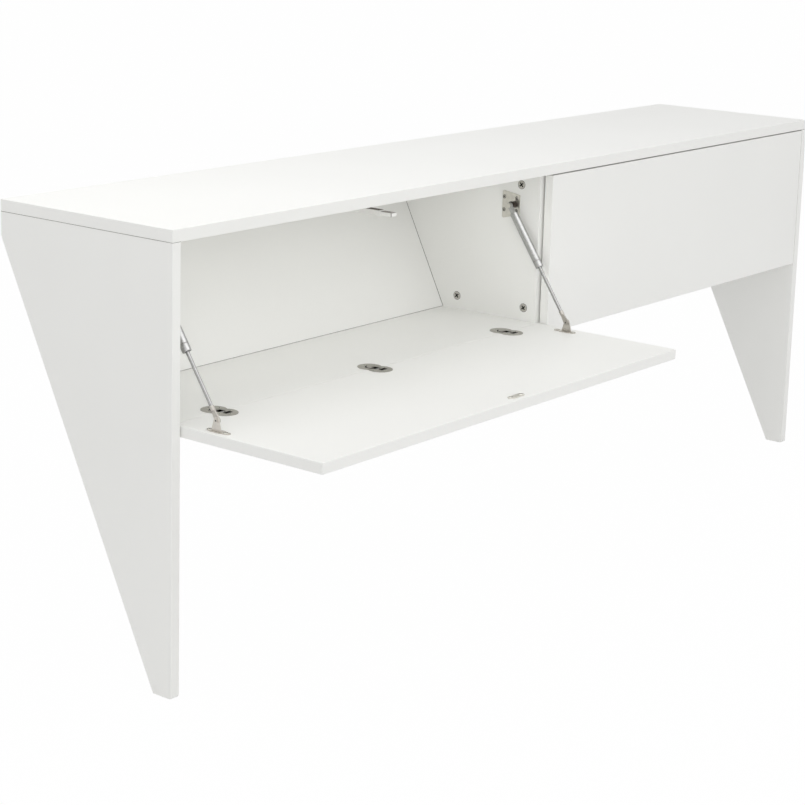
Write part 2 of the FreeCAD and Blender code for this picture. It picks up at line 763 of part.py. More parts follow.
def make_bracket(part, place):
    """Base plate with two lobes and a tapering ear, on the open flap."""
    wall, inward = part.struts[place]
    x = wall + inward * strut_offset
    y = open_lower_pivot.y
    base_middle = y + base_skew * (-1 if place == "outer" else 1)
    lobe_run = base_length / 2 - base_lobe / 2
    lobes = [rod(Vector(x, base_middle + side * lobe_run, shelf_top), Z_AXIS, base_lobe,
                 bracket_sheet) for side in (-1, 1)]
    strip = box(x - base_lobe / 2, x + base_lobe / 2, base_middle - lobe_run,
                base_middle + lobe_run, shelf_top, shelf_top + bracket_sheet)
    waist = box(x - base_waist / 2, x + base_waist / 2, y - ear_foot / 2, y + ear_foot / 2,
                shelf_top, shelf_top + bracket_sheet)
    ear_face = x - inward * (rod_end_thickness / 2 + open_pivot_clearance)
    x0, x1 = sorted((ear_face, ear_face - inward * bracket_sheet))
    pivot_height = shelf_top + bracket_rise
    ear = slab_x([(y - ear_foot / 2, shelf_top), (y + ear_foot / 2, shelf_top),
                  (y + ear_radius, pivot_height), (y - ear_radius, pivot_height)], x0, x1)
    ear_top = rod(Vector(x0, y, pivot_height), X_AXIS, 2 * ear_radius, bracket_sheet)
    head = rivet_head(Vector(ear_face - inward * bracket_sheet, y, pivot_height),
                      X_AXIS * -inward)
    whole = union(lobes + [strip, waist, ear, ear_top, head])
    return part.with_flap(drilled(whole, bracket_screws(part)))


# ---- push latch -----------------------------------------------------------------------------------------
def latch_screws(part):
    """Two screws up through the holder of the latch into the top panel."""
    y = front + housing_setback + mount_start + mount_length / 2
    side_run = mount_width / 2 - mount_screw_inset
    return [screw(Vector(part.latch + side * side_run, y, under_top - mount_plate), Z_AXIS,
                  small_head_diameter, small_shank_diameter, screw_length) for side in (-1, 1)]


def make_latch_housing(part):
    """Sleeve for the plunger, hung from a holder on the underside of the top."""
    x = part.latch
    y0 = front + housing_setback
    y1 = y0 + housing_length
    sleeve = eased(box(x - housing_width / 2, x + housing_width / 2, y0, y1,
                       latch_height - housing_height / 2, latch_height + housing_height / 2),
                   housing_radius, lambda edge: along(edge, Y_AXIS))
    m0 = y0 + mount_start
    stem_half = housing_width / 2 - stem_inset
    stem = box(x - stem_half, x + stem_half, m0, m0 + mount_length,
               latch_height + housing_height / 2 - housing_wall, under_top)
    plate = box(x - mount_width / 2, x + mount_width / 2, m0, m0 + mount_length,
                under_top - mount_plate, under_top)
    bore = box(x - housing_width / 2 + housing_wall, x + housing_width / 2 - housing_wall,
               y0, y1 - housing_wall, latch_height - housing_height / 2 + housing_wall,
               latch_height + housing_height / 2 - housing_wall)
    return drilled(union([sleeve, stem, plate]), [bore] + latch_screws(part))


def make_plunger(part):
    """Tongue of the latch: out in front when released, against the strike when shut."""
    tip = front - plunger_reach if part.is_open else flap_edge + strike_thickness + strike_gap
    tongue = box(part.latch - plunger_width / 2, part.latch + plunger_width / 2,
                 tip, tip + plunger_length,
                 latch_height - plunger_height / 2, latch_height + plunger_height / 2)

    return eased(tongue, plunger_tip_radius, lambda edge: edge.CenterOfMass.y < tip + touching)


def strike_screws(part):
    y = flap_edge - flap_height + latch_drop
    return [screw(Vector(part.latch + side * strike_screw_side, y, shelf_top + strike_thickness),
                  Z_AXIS * -1, small_head_diameter, small_shank_diameter, cup_screw_length)
            for side in (-1, 1)]


def make_strike_plate(part):
    """Round-ended steel plate on the inner face of the flap, drawn open."""
    y = flap_edge - flap_height + latch_drop
    run = (strike_length - strike_width) / 2
    ends = [rod(Vector(part.latch + side * run, y, shelf_top), Z_AXIS, strike_width,
                strike_thickness) for side in (-1, 1)]
    middle = box(part.latch - run, part.latch + run, y - strike_width / 2, y + strike_width / 2,
                 shelf_top, shelf_top + strike_thickness)
    return part.with_flap(drilled(union(ends + [middle]), strike_screws(part)))


# ---- the whole console --------------------------------------------------------------------------------
def carcass_nodes():
    connectors = every_connector()
    return {
        "top_panel": [make_top_panel()],
        "left_side_panel": [make_side_panel(left)],
        "right_side_panel": [make_side_panel(right)],
        "bottom_shelf": [make_shelf()],
        "centre_divider": [make_divider()],
        "back_panel": [make_back_panel()],
        "wall_rail": [make_wall_rail()],
        "cam_fittings": [c.cam for c in connectors],
        "cam_bolts": [c.bolt for c in connectors],
        "wooden_dowels": make_dowels(),
        "back_panel_screws": back_screws(),
        "shelf_cup_screws": [s for part in compartments for s in shelf_cup_screws(part)],
        "strut_plate_screws": [s for part in compartments for place in part.struts
                               for s in plate_screws(part, place)],
        "strut_washers": [make_washer(part, place) for part in compartments
                          for place in part.struts],
        "latch_screws": [s for part in compartments for s in latch_screws(part)],
    }


def flap_nodes(part):
    pins = [hinge_pin(x, pivot) for x in part.hinges for pivot in (link_pivot, flap_pivot)]
    return {
        "flap": [make_flap(part)],
        "shelf_hinge_cups": [make_shelf_cup(x) for x in part.hinges],
        "flap_hinge_cups": [part.with_flap(make_flap_cup(x)) for x in part.hinges],
        "flap_cup_screws": [part.with_flap(s) for s in flap_cup_screws(part)],
        "hinge_links": [part.with_links(make_link(x)) for x in part.hinges],
        "hinge_pins": [part.with_links(pin) for pin in pins],
        "bracket_screws": [part.with_flap(s) for s in bracket_screws(part)],
        "latch_housing": [make_latch_housing(part)],
        "latch_plunger": [make_plunger(part)],
        "strike_plate": [make_strike_plate(part)],
        "strike_screws": [part.with_flap(s) for s in strike_screws(part)],
    }


def strut_nodes(part, place):
    return {
        "plate": [make_wall_plate(part, place)],
        "cylinder": [make_cylinder(part, place)],
        "rod": [make_rod(part, place)],
        "rod_end": [make_rod_end(part, place)],
        "bracket": [make_bracket(part, place)],
    }


def all_nodes():
    nodes = carcass_nodes()
    for part in compartments:
        nodes.update({f"{part.name}_{name}": solids for name, solids in flap_nodes(part).items()})
        for place in part.struts:
            stem = f"{part.name}_{place}_strut"
            nodes.update({f"{stem}_{name}": solids
                          for name, solids in strut_nodes(part, place).items()})
    return nodes


def main():
    os.makedirs("parts", exist_ok=True)
    for name, solids in all_nodes().items():
        group = Part.Compound(solids) if len(solids) > 1 else solids[0]
        group.translate(origin * -1)
        group.exportStep(f"parts/{name}.step")
    print("hinge half swing", round(half_swing, 4), "strut reach", round(open_reach, 3),
          round(closed_reach, 3), "origin height", origin.z)


main()
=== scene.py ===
"""Studio scene of a wall-held drop-front media console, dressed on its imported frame.

X runs along the console, Y runs back to the wall and Z is up, in metres. The origin is on
the wall face, at the height of the wall screws. Sizes of fasteners are in millimetres.
"""
import json
import math

import bmesh
import bpy
import numpy as np
from mathutils import Matrix, Vector


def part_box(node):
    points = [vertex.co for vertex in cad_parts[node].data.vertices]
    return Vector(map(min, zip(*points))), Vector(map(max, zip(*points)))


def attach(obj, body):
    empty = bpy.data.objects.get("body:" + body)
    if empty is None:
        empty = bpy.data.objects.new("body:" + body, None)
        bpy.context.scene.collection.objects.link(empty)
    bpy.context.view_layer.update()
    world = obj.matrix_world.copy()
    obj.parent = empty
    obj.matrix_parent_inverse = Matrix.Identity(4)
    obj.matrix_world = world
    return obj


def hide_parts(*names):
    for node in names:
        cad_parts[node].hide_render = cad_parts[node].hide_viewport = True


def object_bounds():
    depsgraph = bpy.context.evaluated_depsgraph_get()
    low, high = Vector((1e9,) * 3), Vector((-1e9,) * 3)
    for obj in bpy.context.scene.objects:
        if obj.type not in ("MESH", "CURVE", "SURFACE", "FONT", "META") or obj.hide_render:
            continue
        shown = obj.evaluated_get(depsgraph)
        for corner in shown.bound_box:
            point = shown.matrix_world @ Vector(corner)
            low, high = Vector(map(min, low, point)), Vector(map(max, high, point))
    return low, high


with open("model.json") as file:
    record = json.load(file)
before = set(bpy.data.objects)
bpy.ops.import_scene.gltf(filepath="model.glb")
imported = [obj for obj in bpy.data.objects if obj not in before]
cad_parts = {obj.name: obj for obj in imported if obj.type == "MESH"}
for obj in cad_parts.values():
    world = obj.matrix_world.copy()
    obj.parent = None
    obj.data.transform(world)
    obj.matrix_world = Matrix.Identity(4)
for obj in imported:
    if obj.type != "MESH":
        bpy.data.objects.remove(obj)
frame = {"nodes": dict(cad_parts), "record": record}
cad_low, cad_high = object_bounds()
nodes = frame["nodes"]
carried_by = {node: body for body, carried in frame["record"]["behaviour"]["bodies"].items()
              for node in carried}

SIDES = ("left", "right")
STRUTS = [f"{side}_{place}_strut" for side in SIDES for place in ("outer", "inner")]
OUTWARD = {"left": -1, "right": 1}          # along X
FLAP_CUP_AXES = {"left": 2, "right": 1}     # Z from the open flap, Y from the shut one

# ---- camera -------------------------------------------------------------------
PICTURE_SIDE = 805
SENSOR_WIDTH = 36.0
FOCAL_PIXELS = 2063.87
AXIS_ROW = 300.0            # pixel row of the camera's axis
CAMERA_PLACE = Vector((-3.18808, -2.52812, 0.59556))
CAMERA_YAW = 0.907335       # from +Y towards +X
CAMERA_PITCH = 0.211808     # down
CAMERA_ROLL = 0.027503
CLIP_START = 0.05
CLIP_END = 100.0

# ---- stage and finishes ---------------------------------------------------------
WHITE = (1, 1, 1, 1)
WORLD_LIGHT = 0.616
FLOOR_WHITE = 0.985         # share of plain white that the camera sees in the floor
FLOOR_GREY = (0.86, 0.86, 0.86, 1)
FLOOR_REACH = 30.0
GRID_SPREAD = 16.0          # beam of side_grid, in degrees
NOISE_LOW = 0.3             # most of a noise lies between these
NOISE_HIGH = 0.7
BOARD_WHITE = (0.90, 0.90, 0.876)
BOARD_STRAY = 0.008         # of that white, each way
CUP_NICKEL = (0.46, 0.445, 0.405)
CUP_ROUGHNESS = 0.36
# painted shade inside hinge cups, and near black in recesses, grooves and gaps
CUP_SHADE = (0.030, 0.026, 0.022)
PAINTED_SHADE_BLACK = (0.010, 0.009, 0.008)
BEECH = (0.72, 0.56, 0.38)
BEECH_DARK = (0.58, 0.42, 0.26)
BEECH_LIGHT = (0.76, 0.6, 0.42)
WORN_SHARE = 0.88           # dim spots of a metal, of its colour
SKIN_SHARE = 0.93           # and of a plastic
EVEN = (1, 1, 1)
LENGTHWISE = (1, 1, 0.05)   # grain drawn out along a strut
WOOD_GRAIN = (1, 1, 0.1)

# ---- fasteners, in millimetres --------------------------------------------------
MM = 0.001
TURN_STEPS = 24             # sides of a turned piece
SAME_PLACE = 1e-6           # metres
CORNER_DIGITS = 7           # decimals of a metre that tell two corners apart
SIDE_DIGITS = 5             # and the two sides of a window
MAIN, PAINTED_SHADE = 0, 1           # finishes of a piece: its own, and painted shade
HEAD_RISE = 0.3             # crown of a screw head over its rim
CROWN_SHARE = 0.74          # flat of the crown, of the head's radius
CROSS_REACH = 0.66          # arms of the cross, of the head's radius
CROSS_HALF_WIDTH = 0.55
CROSS_DEPTH = 1.1
CROSS_TAPER = 0.8           # floor of the cross, of its mouth
TIP_LENGTH = 2.0
TIP_SHARE = 0.25            # of the shank's radius
PLATE_GROOVE = 0.9          # groove round a screw head, with painted shade on its floor
BRACKET_GROOVE = 1.3
GROOVE_FLOOR = 0.08
COLLAR_WIDTH = 0.9
COLLAR_RISE = 0.5
COLLAR_INNER_SLOPE = 0.2
COLLAR_OUTER_SLOPE = 0.4
CAM_FACE_RISE = 0.6         # turned face of a cam over the board
CAM_FACE_OVERLAP = 0.3      # and over the edge of its pocket
CAM_EDGE = 0.3
CAM_CROSS_REACH = 5.0
CAM_CROSS_HALF_WIDTH = 1.25
CAM_CROSS_TURN = 40.0       # degrees
CAM_CROSS_DEPTH = 0.5
CAM_SHADOW_WIDTH = 0.6      # painted shade in the gap round a cam
CAM_SHADOW_RISE = 0.06
EYE_RADIUS = 5.0            # of a rod end, round its pivot
PIVOT_REACH = 2.5           # corners of a rivet's dimple, from its axis
DIMPLE_RADIUS = 1.45
DIMPLE_TAPER = 0.2
DIMPLE_LEVEL = 0.12         # of its floor in painted shade, below the rivet's face
DIMPLE_THICKNESS = 0.6
CYLINDER_RADIUS = 7.5
CRIMP_START = 12.8          # painted shade line in the crimp of a cylinder, from its open end
CRIMP_WIDTH = 0.9
CRIMP_DEPTH = 0.5
CRIMP_LEVEL = 0.1           # of the line, below the cylinder's surface
CUP_SHADE_START = 0.25      # where the painted shade inside a hinge cup begins, below its face
CUP_SHADE_END = 0.7
WINDOW_DEPTH = 6.6          # floor of a window below the face of its cup
WINDOW_TOLERANCE = 0.05
SHADE_SHEET_RISE = 0.12          # sheet of painted shade over the window, above the face
SHADE_SHEET_THICKNESS = 0.8
SHADE_SHEET_SIDE = 0.3           # past each end of the window
SHADE_SHEET_MARGIN = 1.4         # and past its long edges
GROOVE_CENTRE = (2.0, 7.0)  # curved groove of a shelf cup, from its middle and the shelf edge
GROOVE_RADIUS = 11.5
GROOVE_HALF_WIDTH = 1.1
GROOVE_START = 95.0         # degrees
GROOVE_END = 215.0
GROOVE_RISE = 0.1
COVER_START = 5.5           # cover over the rear of a shelf cup's slot, behind the shelf edge
COVER_END = 12.4
COVER_HALF_WIDTH = 6.4
COVER_LEVEL = 0.3           # below the cup's face
COVER_THICKNESS = 0.8
JOINT_HALF_WIDTH = 0.45     # painted shadow line where the back meets its neighbours
JOINT_END = 0.2             # kept from the next board
LINE_HALF_WIDTH = 0.25      # painted shadow line where the top lies on a side
LINE_RISE = 0.06
LINE_DEPTH = 0.2            # into the front edge of the side, and short of its rear
LATCH_SHADE_RISE = 0.25           # painted shade on the latch
LATCH_SHADE_INSET = 0.3
LATCH_SHADE_LENGTH = 22.8
HOOD_RISE = 1.9             # top of the latch's housing over its plunger
HOOD_SHADE_START = 3.5      # behind the front of the housing
HOOD_SHADE_END = 33.5
TIP_SHADE_START = 0.6             # painted shade band round the tip of the latch
TIP_SHADE_LENGTH = 1.6


def make_camera():
    """Camera at the viewing angle of the product picture."""
    data = bpy.data.cameras.new("camera")
    data.sensor_width = SENSOR_WIDTH
    data.lens = FOCAL_PIXELS * SENSOR_WIDTH / PICTURE_SIDE
    data.shift_y = (AXIS_ROW - PICTURE_SIDE / 2) / PICTURE_SIDE
    data.clip_start = CLIP_START
    data.clip_end = CLIP_END
    camera = bpy.data.objects.new("camera", data)
    bpy.context.scene.collection.objects.link(camera)
    flat = math.cos(CAMERA_PITCH)
    ahead = Vector((math.sin(CAMERA_YAW) * flat, math.cos(CAMERA_YAW) * flat,
                    -math.sin(CAMERA_PITCH)))
    level = Vector((math.cos(CAMERA_YAW), -math.sin(CAMERA_YAW), 0))
    lift = level.cross(ahead)
    across = math.cos(CAMERA_ROLL) * level + math.sin(CAMERA_ROLL) * lift
    upward = math.cos(CAMERA_ROLL) * lift - math.sin(CAMERA_ROLL) * level
    turn = Matrix((across, upward, -ahead)).transposed()
    camera.matrix_world = Matrix.Translation(CAMERA_PLACE) @ turn.to_4x4()
    bpy.context.scene.camera = camera


# ---- shader nodes ---------------------------------------------------------------
def add_node(tree, kind, inputs):
    """Node whose inputs, by name or number, are set to values or linked to sockets."""
    node = tree.nodes.new(kind)
    for key, value in inputs.items():
        if isinstance(value, bpy.types.NodeSocket):
            tree.links.new(value, node.inputs[key])
        else:
            node.inputs[key].default_value = value
    return node


def emptied_tree(owner):
    """Node tree of a world or material, with nothing in it."""
    owner.use_nodes = True
    owner.node_tree.nodes.clear()
    return owner.node_tree


def seen_share(tree):
    """Socket that is 1 for what the camera, reflections and glass see, and 0 for the rest."""
    path = tree.nodes.new("ShaderNodeLightPath")
    total = path.outputs["Is Camera Ray"]
    for kind in ("Is Glossy Ray", "Is Transmission Ray"):
        larger = add_node(tree, "ShaderNodeMath", {0: total, 1: path.outputs[kind]})
        larger.operation = "MAXIMUM"
        total = larger.outputs[0]
    return total


def show(tree, output, share, lit, seen):
    """Join the shaders lit and seen to the output, the second by that share."""
    mix = add_node(tree, "ShaderNodeMixShader", {0: share, 1: lit.outputs[0], 2: seen.outputs[0]})
    add_node(tree, output, {"Surface": mix.outputs[0]})


# ---- stage --------------------------------------------------------------------
def make_world():
    """White to the camera and in reflections, a plain soft light to the surfaces."""
    world = bpy.data.worlds.new("studio")
    bpy.context.scene.world = world
    tree = emptied_tree(world)
    soft = add_node(tree, "ShaderNodeBackground", {"Color": WHITE, "Strength": WORLD_LIGHT})
    seen = add_node(tree, "ShaderNodeBackground", {"Color": WHITE, "Strength": 1.0})
    show(tree, "ShaderNodeOutputWorld", seen_share(tree), soft, seen)


def make_floor():
    """White floor that keeps the console's shadow."""
    mesh = bpy.data.meshes.new("floor")
    build = bmesh.new()
    bmesh.ops.create_grid(build, x_segments=1, y_segments=1, size=FLOOR_REACH)
    build.to_mesh(mesh)
    build.free()
    floor = bpy.data.objects.new("floor", mesh)
    floor.location.z = cad_low.z
    bpy.context.scene.collection.objects.link(floor)
    material = bpy.data.materials.new("floor_white")
    tree = emptied_tree(material)
    matte = add_node(tree, "ShaderNodeBsdfDiffuse", {"Color": FLOOR_GREY})
    white = add_node(tree, "ShaderNodeEmission", {"Color": WHITE, "Strength": 1.0})
    share = add_node(tree, "ShaderNodeMath", {0: seen_share(tree), 1: FLOOR_WHITE})
    share.operation = "MULTIPLY"
    show(tree, "ShaderNodeOutputMaterial", share.outputs[0], matte, white)
    mesh.materials.append(material)


def make_lamp(name, place, aim, size, watts, mirrored=True):
    """Soft box at place that faces aim, hidden from the camera, mirrored or not."""
    data = bpy.data.lights.new(name, "AREA")
    data.shape = "RECTANGLE"
    data.size, data.size_y = size
    data.energy = watts
    lamp = bpy.data.objects.new(name, data)
    lamp.location = place
    lamp.rotation_euler = (Vector(aim) - Vector(place)).to_track_quat("-Z", "Y").to_euler()
    lamp.visible_camera = False
    lamp.visible_glossy = mirrored
    bpy.context.scene.collection.objects.link(lamp)
    return lamp


def make_lights():
    """Keys from the front left, boxes above and low in front, and weak fills in the bays."""
    middle = (0.0, -0.2, -0.1)
    make_lamp("key_near", place=(-5.5, -6.0, 1.6), aim=middle, size=(3.0, 2.4), watts=40.5)
    make_lamp("key_far", place=(-8.5, -9.0, 2.2), aim=middle, size=(5.0, 3.0), watts=65.4)
    make_lamp("top_wide", place=(0.0, -0.3, 3.0), aim=(0.0, -0.2, 0.0), size=(4.0, 2.0),
              watts=7.3)
    make_lamp("top_front", place=(-0.4, -2.6, 2.2), aim=(0.0, 0.0, -0.2), size=(3.8, 1.7),
              watts=19.8)
    make_lamp("top_left", place=(-1.35, -0.15, 1.6), aim=(-1.0, -0.15, 0.0), size=(1.3, 1.3),
              watts=9.5)
    make_lamp("low_front", place=(0.3, -3.4, -0.45), aim=(0.3, -0.4, -0.35), size=(4.0, 0.3),
              watts=3.0, mirrored=False)
    grid = make_lamp("side_grid", place=(-0.98, -0.62, -0.12), aim=(0.0, -0.40, -0.14),
                     size=(0.2, 0.12), watts=0.016, mirrored=False)
    grid.data.spread = math.radians(GRID_SPREAD)
    for way in OUTWARD.values():
        for x, watts in ((0.72, 0.12), (0.27, 0.095)):
            make_lamp("bay_fill", place=(way * x, -0.26, 0.010), aim=(way * x, -0.2, -0.25),
                      size=(0.40, 0.04), watts=watts, mirrored=False)


# ---- materials ----------------------------------------------------------------
def principled(name, colour, roughness, metallic=0.0):
    """New material, with its tree and its shader."""
    material = bpy.data.materials.new(name)
    material.use_nodes = True
    shader = material.node_tree.nodes["Principled BSDF"]
    shader.inputs["Base Color"].default_value = (*colour, 1)
    shader.inputs["Roughness"].default_value = roughness
    shader.inputs["Metallic"].default_value = metallic
    return material, material.node_tree, shader


def own_coordinates(tree):
    """Place on the piece itself, in metres."""
    return tree.nodes.new("ShaderNodeTexCoord").outputs["Object"]


def noise(tree, where, scale, detail=3.0, stretch=EVEN):
    """Noise over the piece's own coordinates, drawn out by stretch."""
    mapping = add_node(tree, "ShaderNodeMapping", {"Vector": where, "Scale": stretch})
    texture = add_node(tree, "ShaderNodeTexNoise",
                       {"Vector": mapping.outputs["Vector"], "Scale": scale, "Detail": detail})
    return texture.outputs["Fac"]


def ramp(tree, value, low, high):
    """Colours from low to high as value goes over the middle of a noise."""
    node = add_node(tree, "ShaderNodeValToRGB", {"Fac": value})
    first, last = node.color_ramp.elements
    first.position, last.position = NOISE_LOW, NOISE_HIGH
    first.color = (*low, 1)
    last.color = (*high, 1)
    return node.outputs["Color"]


def spread(tree, value, low, high, start=NOISE_LOW, end=NOISE_HIGH):
    """Number from low to high as value goes from start to end."""
    node = add_node(tree, "ShaderNodeMapRange",
                    {"Value": value, "From Min": start, "From Max": end, "To Min": low,
                     "To Max": high})
    return node.outputs["Result"]


def bump(tree, shader, height, strength, distance):
    """Relief of that height in metres."""
    node = add_node(tree, "ShaderNodeBump",
                    {"Height": height, "Strength": strength, "Distance": distance})
    tree.links.new(node.outputs["Normal"], shader.inputs["Normal"])


def changed(colour, times=1.0, plus=0.0):
    """Colour with each of its parts multiplied and shifted."""
    return tuple(times * part + plus for part in colour)


def white_board():
    """Melamine board: satin white with a fine pearl and a faint unevenness."""
    material, tree, shader = principled("white_board", BOARD_WHITE, 0.42)
    where = own_coordinates(tree)
    cloud = noise(tree, where, scale=3.0)
    tree.links.new(ramp(tree, cloud, changed(BOARD_WHITE, plus=-BOARD_STRAY),
                        changed(BOARD_WHITE, plus=BOARD_STRAY)), shader.inputs["Base Color"])
    pearl = noise(tree, where, scale=900.0, detail=4.0)
    tree.links.new(spread(tree, pearl, low=0.38, high=0.48), shader.inputs["Roughness"])
    bump(tree, shader, pearl, strength=0.12, distance=0.0001)
    return material


def metal(name, colour, roughness, stretch=EVEN, edge=1.0):
    """Plated metal with a fine drawn grain; edge is how much it mirrors at a grazing view."""
    material, tree, shader = principled(name, colour, roughness, metallic=1.0)
    shader.inputs["Specular Tint"].default_value = (edge, edge, edge, 1)
    where = own_coordinates(tree)
    grain = noise(tree, where, scale=1400.0, stretch=stretch)
    worn = noise(tree, where, scale=160.0)
    tree.links.new(ramp(tree, worn, changed(colour, times=WORN_SHARE), colour),
                   shader.inputs["Base Color"])
    tree.links.new(spread(tree, grain, low=roughness - 0.06, high=roughness + 0.08),
                   shader.inputs["Roughness"])
    bump(tree, shader, grain, strength=0.1, distance=0.00004)
    return material


def cup_metal_with_painted_shade(node, axis):
    """Nickel of a node of hinge cups, with painted shade below the face that looks along that
    axis.
    """
    material = metal(node, CUP_NICKEL, CUP_ROUGHNESS)
    tree = material.node_tree
    base = tree.nodes["Principled BSDF"].inputs["Base Color"]
    bright = base.links[0].from_socket
    # painted shade inside the cup, darker with depth below its face
    cup_painted_shade = ramp(tree, noise(tree, own_coordinates(tree), scale=300.0), PAINTED_SHADE_BLACK, CUP_SHADE)
    place = add_node(tree, "ShaderNodeSeparateXYZ", {"Vector": own_coordinates(tree)})
    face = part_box(node)[1][axis]
    depth = spread(tree, place.outputs[axis], low=0.0, high=1.0,
                   start=face - CUP_SHADE_START * MM, end=face - CUP_SHADE_END * MM)
    mix = tree.nodes.new("ShaderNodeMix")
    mix.data_type = "RGBA"
    tree.links.new(depth, mix.inputs["Factor"])
    tree.links.new(bright, mix.inputs["A"])
    tree.links.new(cup_painted_shade, mix.inputs["B"])
    tree.links.new(mix.outputs["Result"], base)
    return material


def plastic(name, colour, roughness, shine=0.5):
    """Moulded plastic with a fine skin; shine is how much it mirrors head on."""
    material, tree, shader = principled(name, colour, roughness)
    shader.inputs["Specular IOR Level"].default_value = shine
    skin = noise(tree, own_coordinates(tree), scale=700.0)
    tree.links.new(ramp(tree, skin, changed(colour, times=SKIN_SHARE), colour),
                   shader.inputs["Base Color"])
    tree.links.new(spread(tree, skin, low=roughness - 0.05, high=roughness + 0.05),
                   shader.inputs["Roughness"])
    bump(tree, shader, skin, strength=0.15, distance=0.00005)
    return material


def beech():
    """Bare beech of the dowels."""
    material, tree, shader = principled("beech", BEECH, 0.6)
    grain = noise(tree, own_coordinates(tree), scale=120.0, stretch=WOOD_GRAIN)
    tree.links.new(ramp(tree, grain, BEECH_DARK, BEECH_LIGHT), shader.inputs["Base Color"])
    bump(tree, shader, grain, strength=0.3, distance=0.0002)
    return material


materials = {
    "white_board": white_board(),
    "nickel": metal("nickel", (0.75, 0.73, 0.675), 0.34),
    "worn_nickel": metal("worn_nickel", (0.62, 0.59, 0.545), 0.36),
    "rod_end": metal("rod_end", (0.54, 0.515, 0.475), 0.48),
    "cup_nickel": metal("cup_nickel", CUP_NICKEL, CUP_ROUGHNESS),
    "cam_zinc": metal("cam_zinc", (0.58, 0.56, 0.52), 0.38),
    "chrome": metal("chrome", (0.42, 0.42, 0.415), 0.08, LENGTHWISE, edge=0.15),
    "silver": metal("silver", (0.52, 0.52, 0.515), 0.25, LENGTHWISE, edge=0.3),
    "white_plastic": plastic("white_plastic", (0.93, 0.925, 0.90), 0.4),
    "dark_plastic": plastic("dark_plastic", (0.024, 0.014, 0.008), 0.5),
    # grey of painted shade lines in the crimps and on the latch plungers
    "line_grey": plastic("line_grey", (0.34, 0.32, 0.30), 0.7, shine=0.2),
    "shadow_grey": plastic("shadow_grey", (0.17, 0.155, 0.14), 0.7, shine=0.2),
    "steel": metal("steel", (0.36, 0.36, 0.35), 0.36),
    # near-black painted shade for recesses, grooves, gaps and windows
    "recess": plastic("recess", PAINTED_SHADE_BLACK, 0.7, shine=0.05),
    "beech": beech(),
}


def paint(node, material):
    """Give a CAD node that material alone."""
    piece = nodes[node]
    piece.data.materials.clear()
    piece.data.materials.append(material)


def dress():
    """Give every CAD node the finish of its slot, then the struts, hinges and cams theirs."""
    for part in frame["record"]["subparts"]:
        paint(part["node"], materials[part["material_slot"]])
    for strut in STRUTS:
        paint(f"{strut}_rod_end", materials["rod_end"])
        paint(f"{strut}_bracket", materials["worn_nickel"])
    for side in SIDES:
        shelf_cups = f"{side}_shelf_hinge_cups"
        flap_cups = f"{side}_flap_hinge_cups"
        paint(shelf_cups, cup_metal_with_painted_shade(shelf_cups, axis=2))
        paint(flap_cups, cup_metal_with_painted_shade(flap_cups, FLAP_CUP_AXES[side]))
    paint("cam_fittings", materials["cam_zinc"])


# ---- meshes, in millimetres from a seat -------------------------------------------
def seat_at(place, outward):
    """Frame at place whose Z looks outward."""
    return Matrix.Translation(place) @ outward.to_track_quat("Z", "Y").to_matrix().to_4x4()


def turned_loop(build, seat, radius, height):
    """Corners of a circle round the seat's axis."""
    steps = [2 * math.pi * i / TURN_STEPS for i in range(TURN_STEPS)]
    return [build.verts.new(seat @ (Vector((radius * math.cos(a), radius * math.sin(a), height))
                                    * MM)) for a in steps]


def cross_loop(build, seat, reach, half_width, height):
    """Twelve corners of a cross round the seat's axis."""
    arm = ((reach, -half_width), (reach, half_width), (half_width, half_width))
    corners = []
    for quarter in range(4):
        turn = Matrix.Rotation(quarter * math.pi / 2, 3, "Z")
        for x, y in arm:
            corners.append(build.verts.new(seat @ (turn @ Vector((x, y, height)) * MM)))
    return corners


def band(build, first, second, finish=MAIN):
    """Faces between two loops of as many corners."""
    for i, corner in enumerate(first):
        after = (i + 1) % len(first)
        face = build.faces.new((corner, first[after], second[after], second[i]))
        face.material_index = finish


def cap(build, loop, finish=MAIN):
    """Face that closes a loop."""
    face = build.faces.new(loop)
    face.material_index = finish


def bands(build, loops, finish=MAIN):
    """Faces from each loop to the next."""
    for first, second in zip(loops, loops[1:]):
        band(build, first, second, finish)


def closed_bands(build, loops, finish=MAIN):
    """Closed solid through a row of loops."""
    bands(build, loops, finish)
    cap(build, loops[0], finish)
    cap(build, loops[-1], finish)


def turned_ring(build, seat, profile, finish=MAIN):
    """Ring turned from a closed profile of (radius, height) corners."""
    loops = [turned_loop(build, seat, radius, height) for radius, height in profile]
    bands(build, loops + loops[:1], finish)


def square_ring(build, seat, inner, outer, low, high, finish=MAIN):
    """Ring of a rectangular section."""
    profile = ((inner, low), (inner, high), (outer, high), (outer, low))
    turned_ring(build, seat, profile, finish)


def face_with_cross(build, outer, cross):
    """Flat faces between a round loop and the cross inside it."""
    edges = []
    for loop in (outer, cross):
        for i, corner in enumerate(loop):
            after = loop[(i + 1) % len(loop)]
            edges.append(build.edges.get((corner, after)) or build.edges.new((corner, after)))
    bmesh.ops.triangle_fill(build, use_beauty=True, edges=edges)


def add_recess(build, seat, top, reach, half_width, height, depth, taper=1.0):
    """Cross recess in painted shade in the flat round face that top bounds, its floor smaller by
    taper.
    """
    mouth = cross_loop(build, seat, reach, half_width, height)
    floor = cross_loop(build, seat, taper * reach, taper * half_width, height - depth)
    band(build, mouth, floor, PAINTED_SHADE)
    cap(build, floor, PAINTED_SHADE)
    face_with_cross(build, top, mouth)


def add_block(build, low, high, finish=MAIN):
    """Block between two corners in metres."""
    corners = [build.verts.new((x, y, z)) for z in (low[2], high[2])
               for x, y in ((low[0], low[1]), (high[0], low[1]), (high[0], high[1]),
                            (low[0], high[1]))]
    closed_bands(build, [corners[:4], corners[4:]], finish)


def corners_of(node):
    """Corner places of a CAD node."""
    return np.array([tuple(v.co) for v in nodes[node].data.vertices])


